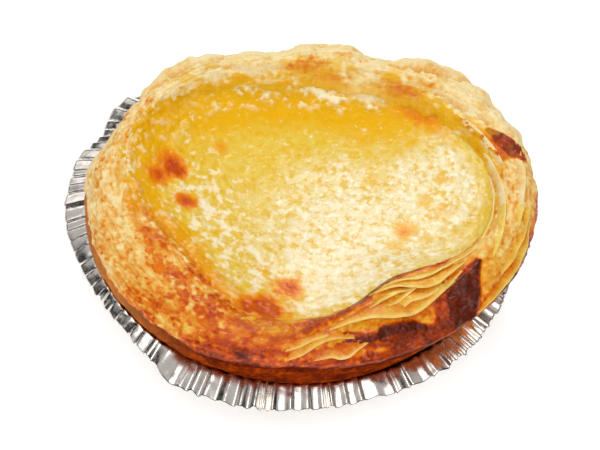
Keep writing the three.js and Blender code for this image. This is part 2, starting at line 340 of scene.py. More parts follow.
# Streaks of the rim that baked darker and stand up a little: each runs through (azimuth, place across, half
# its width in millimetres), and has its browning and its height.
SEARED = [
    (
        [(-23.5, 0.54, 0.1), (-28, 0.43, 0.9), (-33.5, 0.31, 2.1), (-38.5, 0.19, 2.6), (-42, 0.08, 1.4)],
        0.93, 0.35,
    ),
    ([(-24, 0.56, 0.5), (-30, 0.44, 1.7), (-35.5, 0.34, 2.8), (-41, 0.2, 3.2), (-46, 0.1, 1.7)], 0.7, 0.15),
    ([(-42, 0.02, 0.8), (-52, 0.0, 1.0), (-62, 0.02, 0.9), (-70, 0.06, 0.5)], 0.72, 0.1),
    (
        [(-51, 0.17, 0.6), (-57, 0.27, 1.1), (-63, 0.3, 0.8), (-69, 0.25, 0.8), (-75, 0.27, 0.4)],
        0.92, 0.25,
    ),
    (
        [
            (-36, 0.06, 0.5), (-41, 0.07, 0.8), (-47, 0.1, 0.8), (-54, 0.14, 0.9), (-62, 0.22, 1.2),
            (-69, 0.3, 0.8), (-76, 0.38, 0.3),
        ],
        0.8, 0.2,
    ),
    ([(-56, 0.1, 0.7), (-64, 0.13, 0.6), (-70, 0.2, 0.5), (-75, 0.27, 0.3)], 0.74, 0.1),
    (
        [
            (-88, 0.5, 0.6), (-80, 0.68, 0.8), (-72, 0.85, 0.9), (-62, 0.93, 0.9), (-50, 0.94, 0.9),
            (-40, 0.9, 0.7), (-28, 0.86, 0.5),
        ],
        0.7, 0.5,
    ),
    ([(29, 0.6, 0.7), (24.5, 0.5, 1.7), (20, 0.38, 1.9), (17, 0.26, 1.0)], 0.79, 0.4),
    ([(38, 0.78, 0.4), (30, 0.75, 1.0), (24, 0.7, 1.1), (18, 0.62, 0.8)], 0.62, 0.3),
]


def belly_radius(azimuth):
    return BELLY_RADIUS + waves(BELLY_WAVES, azimuth) + swellings(BELLY_LUMPS, azimuth)


def mouth_radius(azimuth):
    return MOUTH_RADIUS + waves(MOUTH_WAVES, azimuth) + swellings(MOUTH_COVERED, azimuth)


def mouth_height(azimuth):
    return MOUTH_HEIGHT + waves(MOUTH_TILT, azimuth) + swellings(MOUTH_RAISED, azimuth)


def in_place(azimuth, radius, height):
    """Points from azimuths, radii and heights, round an axis that moves aside as it rises to the rim."""
    lean = smooth_step(height, LEAN_START, LEAN_END)
    to_right = CROWN_OFFSET[0] * lean + radius * cosine(azimuth)
    to_back = CROWN_OFFSET[1] * lean + radius * cosine(azimuth - 90)
    return np.stack([to_right, to_back, height], axis=-1)


def fine_noise(points, size, octaves=3, shift=0.0):
    """Fractal noise at points, with lumps of a size in millimetres, from about -1 to 1."""
    flat = points.reshape(-1, 3) / size + shift
    values = [noise.fractal(p, 0.9, 2.1, octaves) for p in flat.tolist()]
    return np.array(values).reshape(points.shape[:-1])


def surface_normals(points):
    """The normals of a grid of points that closes on itself along its columns."""
    along = np.roll(points, -1, axis=1) - np.roll(points, 1, axis=1)
    across = np.gradient(points, axis=0)
    normals = np.cross(along, across)
    return normals / np.maximum(np.linalg.norm(normals, axis=-1, keepdims=True), 1e-9)


def gap_to_streak(run, azimuth, across):
    """How far in millimetres places on the rim lie outside a streak, below 0 inside it."""
    place = np.stack([MM_PER_DEGREE * azimuth, RIM_WIDTH * across])
    gaps = []
    for (start, low, first), (end, high, last) in zip(run, run[1:]):
        foot = np.array([MM_PER_DEGREE * start, RIM_WIDTH * low])[:, None, None]
        step = np.array([MM_PER_DEGREE * end, RIM_WIDTH * high])[:, None, None] - foot
        share = np.clip(((place - foot) * step).sum(axis=0) / (step * step).sum(), 0, 1)
        gaps.append(np.hypot(*(place - foot - share * step)) - blend(first, last, share))
    return np.min(gaps, axis=0)


def rim_section(azimuth, share):
    """Radius, height and place across the rim at a share of its arch, from the belly over to the custard."""
    belly, mouth = belly_radius(azimuth), mouth_radius(azimuth)
    flaky = swellings(FLAKY_SIDE, azimuth)
    lift = CREST_LIFT - FLAKY_SINK * flaky + waves(CREST_WAVES, azimuth) - swellings(CREST_LOWERED, azimuth)
    sweep = math.pi * CREST_SWEEP
    even = (1 - np.cos(sweep * share)) / (1 - math.cos(sweep))
    across = even ** (1 / (1 + FLAKY_SKEW * flaky))
    arch = lift * (np.sin(sweep * share) - math.sin(sweep) * even)
    return blend(belly, mouth, across), blend(BELLY_HEIGHT, mouth_height(azimuth), even) + arch, across


def closer_columns(count, closer):
    """Azimuths all round, which lie closer together on the flaky side."""
    even = np.linspace(-180, 180, 1441)
    weight = 1 + closer * bell(even, FLAKY_SIDE[0][0], 55)
    place = np.append(0, np.cumsum((weight[1:] + weight[:-1]) / 2))
    return np.interp(np.arange(count) * place[-1] / count, place, even)


azimuth = closer_columns(SHELL_COLUMNS, 1.0)
shell_azimuth = azimuth
belly = belly_radius(azimuth)
mouth = mouth_radius(azimuth)
foot = FOOT_RADIUS + swellings(FOOT_SPREAD, azimuth)
skirt = belly - SKIRT_INSET + swellings(SKIRT_SPREAD, azimuth)
crack = skirt - CRACK_DEPTH - swellings(CRACK_SPREAD, azimuth)

# Rows of (radius, height, across), up the outside: across is below 0 under the belly.
UNDERSIDE = [(0, 0.7), (12, 0.7), (23.4, 0.7), (24.8, 1.7), (29, 7), (33.5, 12.3)]
INSIDE = [(21.6, 4.8), (20.5, 3.7), (0, 3.7)]
rows = [(radius, height, -1) for radius, height in UNDERSIDE]
SKIRT_ROWS = 12
for share in np.linspace(0, 1, SKIRT_ROWS):
    bulge = 0.35 * math.sin(math.pi * share)
    height = blend(FOOT_HEIGHT, SKIRT_HEIGHT, share)
    rows.append((blend(foot, skirt, share**0.7) + bulge, height, -0.9 + 0.5 * share))
for share in (0.3, 0.7, 1.0):
    height = blend(SKIRT_HEIGHT + 0.1, CRACK_HEIGHT, share)
    rows.append((blend(skirt, crack, share), height, -0.36 + 0.06 * share))
for share in (0.15, 0.5, 0.9):
    height = blend(CRACK_HEIGHT + 0.05, CRACK_HEIGHT + 0.45, share)
    rows.append((blend(crack, belly - 0.55, share**0.6), height, -0.28 + 0.08 * share))
for share in np.linspace(0, 1, 8)[:-1]:
    radius = blend(belly - 0.45, belly, math.sin(math.pi / 2 * share))
    rows.append((radius, blend(CRACK_HEIGHT + 0.75, BELLY_HEIGHT, share), -0.18 + 0.18 * share))
first_rim_row = len(rows)
rows += [rim_section(azimuth, row / (RIM_ROWS - 1)) for row in range(RIM_ROWS)]
last_rim_row = len(rows) - 1
for inset, drop in ((0.4, 1.2), (0.8, 3), (1.5, 10)):
    rows.append((mouth - inset, mouth_height(azimuth) - drop, 1))
rows += [(radius, height, 1) for radius, height in INSIDE]

radii, heights, across = (np.array([row[part] + 0 * azimuth for row in rows]) for part in range(3))
azimuths = np.broadcast_to(azimuth, radii.shape)
points = in_place(azimuths, radii, heights)
normals = surface_normals(points)

# The relief of the crust, along its normals. It fades out at the rim's edges, and is shown above the foil.
on_rim = np.zeros_like(across)
on_rim[first_rim_row - 6 : last_rim_row + 1] = 1
fade = np.clip(np.minimum(0.4 + 3 * (across + 0.1), 3.0 * (1.03 - across)), 0, 1) * on_rim
shown = np.zeros_like(across)
shown[7 : last_rim_row + 2] = 1
around = np.stack(
    [RIM_MIDDLE_RADIUS * cosine(azimuths), RIM_MIDDLE_RADIUS * cosine(azimuths - 90), RIM_WIDTH * across],
    axis=-1,
)
wander = fine_noise(around * [0.16, 0.16, 1.0], 1.1, 2)
patchy = smooth_step(fine_noise(around * [0.3, 0.3, 0.6], 2.6, 2, 7.0), -0.3, 0.4)
streaks = 1 - 2.2 * np.abs(fine_noise(around * [0.11, 0.11, 1.0], 1.0, 3, 21.0))
strata = (10.5 * across + 1.2 * wander) % 1.0
ledge = (strata - 0.5) * smooth_step(strata, 0, 0.12)
lumps = fine_noise(points, 6.5, 2, 1.0)
veins = smooth_step(np.abs(fine_noise(around * [0.22, 0.22, 0.9], 1.0, 3, 51.0)), 0.12, 0.0)
tufts = smooth_step(fine_noise(points * [1, 1, 1.4], 2.4, 3, 31.0), 0.0, 0.35)
knobs = fine_noise(points, 3.0, 2, 12.0)
crumbs = 1.6 * np.abs(fine_noise(points, 1.6, 3, 3.0)) - 0.45
grains = fine_noise(points, 0.55, 2, 5.0)
bubbly = np.clip(swellings(BLISTERED, azimuths), 0, 1)
band_start = 0.2 + 0.3 * smooth_step(cosine(azimuths + 178), 0.5, 1.0) + 0.1 * wander + 0.08 * knobs
bubbly *= smooth_step(across, band_start, band_start + 0.14)
blisters = smooth_step(fine_noise(points, 1.2, 2, 9.0), 0.0, 0.6)
backward = smooth_step(cosine(azimuths - 95), 0.0, 0.7)
calm = blend(1, 0.3, np.clip(swellings(LEAFY, azimuths), 0, 1))
points += normals * (fade * ((0.4 + 0.1 * backward) * lumps + (0.3 + 0.12 * backward) * knobs))[..., None]
lumpy = points.copy()
seared, gap_height = np.zeros_like(across), np.zeros_like(across)
for run, level, height in SEARED:
    gap = gap_to_streak(run, azimuths, across) + 0.45 * knobs + 0.25 * crumbs
    seared = np.maximum(seared, level * smooth_step(gap, 0.75, -0.5))
    gap_height = np.maximum(gap_height, height * smooth_step(gap, 0.3, -0.35))
flaky = 0.25 + 0.5 * smooth_step(cosine(azimuths - 165), -0.2, 0.5)
flaky *= 1 - 0.8 * smooth_step(across, 0.55, 0.85)
outward = fade * calm * (0.1 * patchy * ledge - (0.06 + 0.17 * flaky) * streaks + 0.12 * tufts)
outward += shown * calm * ((0.24 - 0.06 * backward) * crumbs + 0.11 * grains) * blend(0.3, 1, fade)
outward += fade * (gap_height + 0.2 * seared * knobs + 0.3 * seared * crumbs)
outward += fade * bubbly * (0.14 * blisters - 0.15 * crumbs)
outward += 0.2 * (shown - fade) * knobs * (across > -0.95)
points += normals * outward[..., None]

# Browning, from pale dough (0) through gold, amber and red-brown to scorched (1), with painted shade and
# painted light added to it below. Each patch is an azimuth and a place across the rim, how far it reaches
# along both, and how much browner it is there. The lists after it are of patches too: where the custard's
# film is missing or spilt, and of cream and glaze.
TOASTED = [
    (-98, 0.4, 26, 0.45, 0.27),
    (-112, 0.16, 8, 0.1, 0.14),
    (-98, 0.1, 8, 0.1, 0.1),
    (-92, 0.0, 44, 0.2, 0.22),
    (-60, -0.1, 40, 0.16, 0.3),
    (-20, -0.02, 20, 0.14, 0.36),
    (-120, 0.66, 10, 0.2, 0.06),
    (-140, 0.15, 24, 0.2, 0.12),
    (-118, 0.5, 30, 0.6, 0.1),
    (-50, 0.5, 26, 0.45, 0.22),
    (-26, 0.25, 8, 0.3, 0.08),
    (-16, 0.08, 12, 0.15, 0.1),
    (-80, 0.76, 7, 0.07, 0.35),
    (-70, 0.95, 8, 0.07, 0.45),
    (-58, 0.98, 9, 0.07, 0.5),
    (-45, 0.96, 9, 0.06, 0.5),
    (-33, 0.96, 8, 0.06, 0.4),
    (-84, 0.7, 6, 0.1, 0.25),
    (0, -0.02, 24, 0.07, 0.3),
    (-11, 0.94, 8, 0.06, 0.35),
    (26, 0.92, 6, 0.06, 0.4),
    (32, 0.8, 7, 0.04, 0.3),
    (98, 0.64, 5.5, 0.15, 0.7),
    (58, 0.55, 14, 0.4, 0.07),
    (89, 0.86, 6, 0.1, 0.7),
    (61, 0.8, 7, 0.1, 0.62),
    (48, 0.95, 6, 0.07, 0.5),
    (64, 0.95, 6, 0.06, 0.2),
    (54, 0.6, 4, 0.05, 0.2),
    (104, 0.7, 6, 0.1, 0.16),
    (86, 0.45, 5, 0.06, 0.2),
    (75, 0.2, 6, 0.06, 0.14),
    (127, 0.62, 5, 0.07, 0.16),
    (136, 0.4, 8, 0.05, 0.12),
    (150, 0.3, 8, 0.06, 0.14),
    (172, 0.55, 5, 0.08, 0.16),
    (170, 0.5, 30, 0.4, 0.05),
]
FILM_MISSING = [(77, 0.84, 8, 0.14, 0.9), (98, 0.64, 6, 0.15, 0.8), (61, 0.8, 7, 0.1, 0.8)]
FILM_SPILT = [(-96, 0.5, 5, 0.12, 0.5), (-104, 0.7, 6, 0.1, 0.3)]
CREAMY = [(75, 0.9, 8, 0.1, 1.0)]
GLAZED = [(-72, 0.4, 50, 0.5, 1.2)]


def patches(rows, azimuth, across):
    return sum(
        amount * bell(azimuth, centre, width) * np.exp(-(((across - middle) / reach) ** 2))
        for centre, middle, width, reach, amount in rows
    )


wall = smooth_step(-across, -0.03, 0.12)
on_belly_side = across > -0.45
front = smooth_step(cosine(azimuths + 84), 0.4, 0.95)
browning_and_shading = 0.2 + patches(TOASTED, azimuths, across) * (1 + 0.4 * wander)
# Raised crumbs and tufts come out paler and the hollows between them browner: partly the crust's own colour,
# partly painted shade in the hollows and painted highlight on the tops.
browning_and_shading += calm * (0.03 * streaks - 0.05 * tufts) - 0.16 * crumbs - 0.03 * (strata - 0.5) * patchy
browning_and_shading += 0.06 * wander + 0.05 * knobs - 0.12 * flaky * streaks * calm
browning_and_shading += (0.17 * veins - 0.12 - 0.1 * crumbs) * flaky * calm * on_rim
browning_and_shading += 0.2 * smooth_step(fine_noise(points, 1.5, 2, 71.0), 0.25, 0.6) * calm * on_rim
bubbly_browning = np.minimum(0.5 + 0.12 * front + 0.1 * wander + 0.3 * knobs, 0.64)
browning_and_shading = blend(browning_and_shading, bubbly_browning - 0.34 * blisters + 0.15 * crumbs, 0.9 * bubbly)
browning_and_shading = np.minimum(browning_and_shading, blend(1, 0.6, smooth_step(cosine(azimuths - 95), 0.1, 0.5)))
darkest = np.clip(browning_and_shading - 0.57, 0, 1) * bell(azimuths, -106, 34)
browning_and_shading -= 0.6 * darkest * smooth_step(across, 0.04, 0.12)
browning_and_shading = np.maximum(browning_and_shading, seared + 0.1 * crumbs * (seared > 0))
# The wall is darker on the left: painted shade of the gap between the rim and the foil there.
wall_browning_and_shade = blend(0.48, 0.8, front) + 0.18 * smooth_step(cosine(azimuths - 190), 0.6, 0.95)
browning_and_shading = blend(browning_and_shading, wall_browning_and_shade + 0.08 * wander - 0.1 * crumbs, wall)
# Browner bands in the crack under the belly and, at the front, just below it: painted shade under the
# overhanging belly.
browning_and_shading += 0.12 * np.exp(-(((across + 0.24) / 0.06) ** 2)) * on_belly_side
browning_and_shading += 0.12 * front * np.exp(-(((across + 0.1) / 0.1) ** 2))
behind = smooth_step(cosine(azimuths - 85), 0.2, 0.8)
film = smooth_step(across + 0.15 * wander - 0.12 * crumbs + 0.26 * knobs + 0.06 * behind, 0.76, 0.98)
mottled = smooth_step(fine_noise(points, 3.4, 3, 44.0) + 0.3 * knobs, 0.05, 0.4)
mottled *= smooth_step(across, 0.25, 0.7)
film = np.maximum(film, 0.65 * mottled * smooth_step(cosine(azimuths - 100), -0.2, 0.5))
film = np.maximum(film, 0.7 * veins * flaky * smooth_step(across, 0.35, 0.8))
film *= 1 - 0.9 * np.clip(bubbly, 0, 1) * smooth_step(across, 0.95, 0.8)
film *= 0.08 + 0.92 * smooth_step(cosine(azimuths - 115), -0.75, 0.2)
film *= 1 - np.clip(patches(FILM_MISSING, azimuths, across), 0, 1)
film = np.clip(film + patches(FILM_SPILT, azimuths, across), 0, 1)
# Paler at the back: painted light, lifting the rim's inner slope that faces away from the key light.
browning_and_shading -= 0.15 * behind
glaze = 0.12 + patches(GLAZED, azimuths, across) + 0.8 * seared
glaze += 0.25 * bubbly * (1 - blisters) + 0.7 * film + 0.5 * patches(TOASTED, azimuths, across)
glaze = blend(np.clip(glaze, 0, 1) * (1 - 0.85 * bubbly * blisters), -0.4, wall)

cream = 0.75 * patches(CREAMY, azimuths, across) * smooth_step(fine_noise(points, 1.3, 2, 91.0), -0.3, 0.3)
cream += 0.2 * wall * (1 - front)
masks = {"browning_and_shading": np.clip(browning_and_shading, 0, 1), "lip": cream, "custard_film": film, "glaze": glaze}
shell = rolled_shell(points, masks)


def mask_of(tree, name):
    return add_node(tree, "ShaderNodeAttribute", attribute_name=name).outputs["Fac"]


def mixed(tree, share, start, end, blend_type="MIX"):
    return add_node(
        tree, "ShaderNodeMix", {0: share, 6: start, 7: end}, data_type="RGBA", blend_type=blend_type
    ).outputs[2]


# Baked puff pastry: matt and crumbly where pale, and glossy where the egg glaze and butter browned it.
PASTRY_CRUMB = 0.7
PASTRY_BLOTCH = 3.2
pastry, tree = new_material("baked_puff_pastry")
place = add_node(tree, "ShaderNodeTexCoord").outputs["Object"]
crumb = speckle(tree, place, PASTRY_CRUMB, 4.0, 0.6)
blotch = speckle(tree, place, PASTRY_BLOTCH, 3.0, 0.6)
toast = mask_of(tree, "browning_and_shading")
crumb_shift = add_node(
    tree,
    "ShaderNodeMapRange",
    {"Value": crumb, "From Min": 0.3, "From Max": 0.7, "To Min": -0.075, "To Max": 0.075},
).outputs["Result"]
blotch_shift = add_node(
    tree,
    "ShaderNodeMapRange",
    {"Value": blotch, "From Min": 0.3, "From Max": 0.7, "To Min": -0.08, "To Max": 0.08},
).outputs["Result"]
shifted = add_node(tree, "ShaderNodeMath", {0: toast, 1: crumb_shift}, operation="ADD").outputs[0]
shifted = add_node(tree, "ShaderNodeMath", {0: shifted, 1: blotch_shift}, operation="ADD").outputs[0]
crust_colour = add_node(
    tree,
    "ShaderNodeValToRGB",
    {"Fac": shifted},
    stops=[
        (0.0, "#FBE7B8"),
        (0.16, "#F5D08E"),
        (0.32, "#EDAD50"),
        (0.47, "#E27C18"),
        (0.6, "#CC5006"),
        (0.74, "#983608"),
        (0.87, "#68200C"),
        (1.0, "#4E170B"),
    ],
).outputs["Color"]
glaze = mask_of(tree, "glaze")
crust_colour = mixed(tree, glaze, crust_colour, colour("#FFF270"), "MULTIPLY")
lip = mask_of(tree, "lip")
crust_colour = mixed(tree, lip, crust_colour, colour("#FFDE86"))
film = mask_of(tree, "custard_film")
crust_colour = mixed(tree, film, crust_colour, colour("#EFB41A"))
dull = add_node(
    tree, "ShaderNodeMapRange", {"Value": glaze, "To Min": 0.6, "To Max": 0.3}
).outputs["Result"]
coated = add_node(
    tree, "ShaderNodeMapRange", {"Value": glaze, "To Min": 0.12, "To Max": 0.5}, clamp=False
).outputs["Result"]
shine = add_node(
    tree, "ShaderNodeMapRange", {"Value": glaze, "From Min": -0.4, "From Max": 0.1, "To Max": 0.08}
).outputs["Result"]
raised = add_node(
    tree, "ShaderNodeBump", {"Height": crumb, "Strength": 0.7, "Distance": 0.26 * MM}
).outputs["Normal"]
crust = add_node(
    tree,
    "ShaderNodeBsdfPrincipled",
    {
        "Base Color": crust_colour,
        "Roughness": dull,
        "IOR": 1.45,
        "Specular IOR Level": shine,
        "Coat Weight": coated,
        "Coat Roughness": 0.1,
        "Coat IOR": 1.5,
        "Subsurface Weight": 0.12,
        "Subsurface Radius": (1.0, 0.45, 0.2),
        "Subsurface Scale": 1.2 * MM,
        "Normal": raised,
        "Coat Normal": raised,
    },
).outputs["BSDF"]
add_node(tree, "ShaderNodeOutputMaterial", {"Surface": crust})
finished("puff_pastry_shell", shell, pastry, "pastry_shell")


def on_crust(azimuth, across):
    """Points of the lumpy rim, and the normals there, at azimuths and places across it."""
    skewed = np.clip(across, 0, 1) ** (1 + FLAKY_SKEW * swellings(FLAKY_SIDE, azimuth))
    sweep = math.pi * CREST_SWEEP
    row = first_rim_row + np.arccos(1 - skewed * (1 - math.cos(sweep))) / sweep * (RIM_ROWS - 1)
    column = np.interp(azimuth, shell_azimuth, np.arange(SHELL_COLUMNS))
    low, left = row.astype(int), column.astype(int)
    up, along = (row - low)[..., None], (column - left)[..., None]
    right = (left + 1) % SHELL_COLUMNS
    met = []
    for grid in (lumpy, normals):
        lower = blend(grid[low, left], grid[low, right], along)
        upper = blend(grid[low + 1, left], grid[low + 1, right], along)
        met.append(blend(lower, upper, up))
    return met


# The leaves are thin sheets, tucked into the rim at their root and free at their pale outer edge.
leaves = bmesh.new()
steps, depth_steps = LEAF_STEPS
for number, (edge, width, lift, toast) in enumerate(LEAVES):
    along = np.linspace(0, 1, steps)
    stations = np.linspace(0, 1, len(edge))
    leaf_azimuth = np.interp(along, stations, [point[0] for point in edge])
    place = np.interp(along, stations, [point[1] for point in edge])
    for _ in range(40):
        for run in (leaf_azimuth, place):
            run[1:-1] = (run[:-2] + 2 * run[1:-1] + run[2:]) / 4
    fullness = np.sin(np.pi * along) ** 0.35
    inward = np.linspace(0, 1, depth_steps)[:, None]
    leaf_azimuths = np.broadcast_to(leaf_azimuth, (depth_steps, steps))
    bases, upwards = on_crust(leaf_azimuths, place + width * fullness * inward)
    wavy = fine_noise(bases, 4.5, 2, 40.0 + number)
    rise = blend(-LEAF_TUCK, lift * (1 + 0.5 * wavy), fullness * (1 - inward) ** 0.8)
    rise += 0.06 * fine_noise(bases, 1.2, 3, 50.0)
    sheet = bases + upwards * rise[..., None]
    # Browner towards the root: painted shade where the leaf slips under the one above it.
    shade = toast + 0.1 * wavy + 0.3 * (inward - 0.3)
    pale_edge = np.exp(-((inward / 0.13) ** 2)) * fullness * (0.75 + 0.6 * wavy)
    sheet_masks = {
        "browning_and_shading": np.clip(shade, 0, 1),
        "lip": np.clip(pale_edge, 0, 1),
        "custard_film": 0 * wavy,
        "glaze": 0.8 * (leaf_azimuths < 0) * (leaf_azimuths > -100),
    }
    add_sheet(leaves, sheet, sheet_masks, False)
leaf_piece = finished("pastry_leaves", leaves, pastry, "pastry_shell")
thin = leaf_piece.modifiers.new("thickness", "SOLIDIFY")
thin.thickness = LEAF_THICKNESS * MM
thin.offset = 0

# ----------------------------------------------------------------------------------------------------------
# The custard. Egg yolk, milk and sugar, poured into the shell and baked until it set: it rose, wrinkled and
# sank again, so its skin is grainy and shiny, golden where it is thin at the edge, and has browned spots.
# Painted into its colour are a pale highlight where the key light falls, and gold shade on the back slope.

CUSTARD_COLUMNS = 600
CUSTARD_ROWS = 136
FILM_ROWS = 24
FILM_REACH = 0.74  # it laps up the rim's inner side, from this share of the arch
FILM_SHORT = [(-52, 36, 0.22), (-136, 32, -0.24), (168, 26, -0.17)]
FILM_DEPTH = 0.45
FILLET_ROUNDS = 300
CUSTARD_MIDDLE_HEIGHT = 19.7
DISH_POWER = 2.9
DISH_SHALLOW = [(-140, 40, -0.9), (176, 30, -0.5)]

azimuth = np.arange(CUSTARD_COLUMNS) * 360 / CUSTARD_COLUMNS
mouth = mouth_radius(azimuth)
edge = mouth - 0.34
film_reach = FILM_REACH + 0.18 * smooth_step(cosine(azimuth - 85), 0.0, 0.8)
film_reach = film_reach + swellings(FILM_SHORT, azimuth)
rows = [(0, 4, 1), (20, 4, 1), (26, 12, 1), (edge - 0.5, mouth_height(azimuth) - 2.2, 1)]
for row in range(FILM_ROWS):
    climb = row / FILM_ROWS
    radius, height, across = rim_section(azimuth, blend(film_reach, 1, climb))
    rows.append((radius, height + blend(-FILM_DEPTH, FILM_DEPTH, climb), 1 + (1 - across)))
for row in range(CUSTARD_ROWS):
    share = 1 - row / (CUSTARD_ROWS - 1)
    climb = share ** (DISH_POWER + swellings(DISH_SHALLOW, azimuth))
    dish = blend(CUSTARD_MIDDLE_HEIGHT, mouth_height(azimuth) + FILM_DEPTH, climb)
    rows.append((mouth * share, dish, share))
radii, heights, share = (np.array([row[part] + 0 * azimuth for row in rows]) for part in range(3))
rounded = smooth_step(np.arange(len(rows)), 6, FILM_ROWS) * (share[:, 0] > 0.3)
for _ in range(FILLET_ROUNDS):
    for part in (radii, heights):
        even = (part[:-2] + 2 * part[1:-1] + part[2:]) / 4
        part[1:-1] = blend(part[1:-1], even, rounded[1:-1, None])
azimuths = np.broadcast_to(azimuth, radii.shape)
points = in_place(azimuths, radii, heights)
top = np.zeros_like(share)
top[5:] = 1
wrinkled = fine_noise(points * [1, 1, 0.3], 3.6, 3, 2.0)
curdled = fine_noise(points, 1.2, 3, 4.0)
grainy = fine_noise(points, 0.42, 2, 6.0)
lapping = smooth_step(share, 1.02, 1.2)
bubbled = smooth_step(share, 0.66, 0.95)
points[..., 2] += top * (0.12 + 0.14 * bubbled) * wrinkled
points[..., 2] += top * ((0.05 + 0.1 * bubbled) * curdled + 0.03 * grainy)
points[..., 2] += top * lapping * 0.22 * (wrinkled + curdled)

# Each spot is an azimuth, a radius, its size and how brown it is, and each gilded patch how golden it is.
SPOTS = [
    (173, 25.0, 2.3, 1.0),
    (177, 23.8, 1.4, 0.6),
    (-179, 27.0, 1.9, 0.8),
    (-167, 21.6, 1.6, 1.0),
    (-170, 23.0, 1.2, 0.5),
    (-96, 19.6, 2.1, 1.0),
    (-103, 26.0, 2.7, 1.1),
    (-100, 27.2, 1.8, 0.8),
    (-108, 27.8, 2.0, 0.8),
    (150, 19.5, 1.8, 0.35),
    (-14, 16.9, 1.5, 0.45),
]
GILDED = [
    (35, 12.4, 1.6, 0.9),
    (20, 23.6, 1.5, 0.8),
    (9, 20.0, 2.0, 0.8),
    (3, 22.5, 2.2, 0.7),
    (-14, 16.9, 2.4, 1.0),
    (-27, 16.5, 1.8, 0.9),
    (-17, 21.3, 1.8, 0.7),
    (-60, 13.0, 1.2, 0.6),
    (-113, 17.7, 2.4, 0.9),
    (-96, 19.6, 3.4, 0.8),
    (-103, 25.5, 4.4, 0.9),
    (173, 25.0, 4.2, 0.9),
    (-168, 21.5, 3.2, 0.9),
    (63, 16.4, 1.6, 0.5),
    (-150, 25.0, 3.0, 0.7),
]
HIGHLIGHT_PLACE = (-27, 10.5)  # the middle of the pale highlight painted on the skin, where the key light's glint falls
HIGHLIGHT_REACH = 18.0
SIDE_HIGHLIGHT_PLACE = (14, 23.0)
SIDE_HIGHLIGHT_REACH = 11.0


def gap_on_skin(azimuth, radius):
    """How far points of the custard lie to the right of a place on its skin, and how far behind it."""
    return points[..., :2] - in_place(azimuth, radius, LEAN_END)[:2]


spots_and_shade = np.zeros_like(share)
for spot_azimuth, spot_radius, size, amount in SPOTS:
    gap = gap_on_skin(spot_azimuth, spot_radius)
    away = np.hypot(gap[..., 0], gap[..., 1]) * (1 + 0.25 * curdled + 0.3 * wrinkled)
    spots_and_shade += amount * np.exp(-((away / size) ** 2))
gilt = np.zeros_like(share)
for patch_azimuth, patch_radius, size, amount in GILDED:
    gap = gap_on_skin(patch_azimuth, patch_radius)
    away = np.hypot(gap[..., 0], gap[..., 1]) * (1 + 0.4 * curdled + 0.4 * wrinkled)
    gilt = np.maximum(gilt, amount * smooth_step(away, 1.3 * size, 0.3 * size))
caramel = smooth_step(share + 0.05 * curdled + 0.06 * wrinkled, 0.84, 0.97) * bell(azimuths, -136, 30)
spots_and_shade += (0.25 + 0.35 * smooth_step(share, 0.97, 1.08)) * caramel
# A brown-gold band on the back right slope, which the light leaves in shade: painted shade, mixed in with
# the spots.
spots_and_shade += 0.48 * smooth_step(share + 0.05 * curdled, 0.86, 1.0) * bell(azimuths, 50, 13)
spots_and_shade += 0.2 * smooth_step(share + 0.04 * curdled, 0.95, 1.06) * bell(azimuths, 146, 24)
left_front = smooth_step(cosine(azimuths + 150), 0.3, 0.8)
spots_and_shade += 0.09 * smooth_step(share + 0.06 * curdled, 0.74, 0.95) * left_front
foamy = smooth_step(cosine(azimuths + 120), -0.3, 0.6) * smooth_step(share, 0.25, 0.6)
foamy *= smooth_step(share, 1.1, 0.98)
back = smooth_step(cosine(azimuths - 102), 0.25, 0.85)
crusted = fine_noise(points * [0.6, 1, 1], 2.2, 3, 15.0) + 0.7 * fine_noise(points, 9.0, 2, 65.0)
crusted = smooth_step(crusted + 0.9 * curdled + 2.4 * (share - 1.0), -0.1, 0.8)
crusted *= smooth_step(share, 0.8, 0.92)
left_edge = smooth_step(cosine(azimuths - 186), 0.45, 0.85) * smooth_step(share, 0.8, 0.94)
crusted *= (0.35 + 0.65 * back) * smooth_step(share, 1.12, 0.98) * (1 - 0.85 * left_edge)
beaded = smooth_step(fine_noise(points, 1.4, 2, 81.0), 0.15, 0.6) * smooth_step(share, 0.82, 0.92)
crusted = np.maximum(crusted, 0.8 * beaded * smooth_step(cosine(azimuths + 146), 0.3, 0.8))
creamed = smooth_step(share + 0.08 * curdled + 0.06 * wrinkled, 0.93, 1.0) * bell(azimuths, 72, 6)
crusted = np.maximum(crusted, 0.75 * creamed * smooth_step(share, 1.14, 1.02))
points[..., 2] += 0.35 * crusted
left = smooth_step(cosine(azimuths - 180), 0.4, 0.9)
foamy *= 1 - 0.85 * left_edge
# Golden where the skin is thin at the edge; the stronger gold on the back slope is painted shade, as that
# slope faces away from the key light.
golden_and_shade = 1.15 * smooth_step(share, 0.56, 0.85) * back + 0.85 * smooth_step(share, 0.84, 1.0) * left
golden_and_shade += 0.3 * smooth_step(share, 0.9, 1.0) * smooth_step(cosine(azimuths - 180), -0.7, 0.2)
golden_and_shade += gilt - 0.2 * wrinkled - 0.25 * curdled
# A painted highlight: the skin is paler, in a veil and in flecks, round the places where the key light's
# highlight falls on it.
gap = gap_on_skin(*HIGHLIGHT_PLACE)
highlight_veil = np.hypot(gap[..., 0], gap[..., 1] * np.where(gap[..., 1] > 0, 1.15, 0.75)) / HIGHLIGHT_REACH
gap = gap_on_skin(*SIDE_HIGHLIGHT_PLACE)
highlight_veil = np.minimum(highlight_veil, np.hypot(gap[..., 0], gap[..., 1]) / SIDE_HIGHLIGHT_REACH)
painted_highlight = smooth_step(highlight_veil + 0.25 * wrinkled + 0.15 * curdled, 1.4, 0.45)
painted_highlight *= smooth_step(share, 1.05, 0.9) * (1 - 0.85 * gilt)
masks = {"golden_and_shade": golden_and_shade, "spots_and_shade": spots_and_shade, "painted_highlight": painted_highlight, "crusted": crusted, "foamy": foamy}
masks = {name: np.clip(mask, 0, 1) for name, mask in masks.items()}
shell = rolled_shell(points, masks)

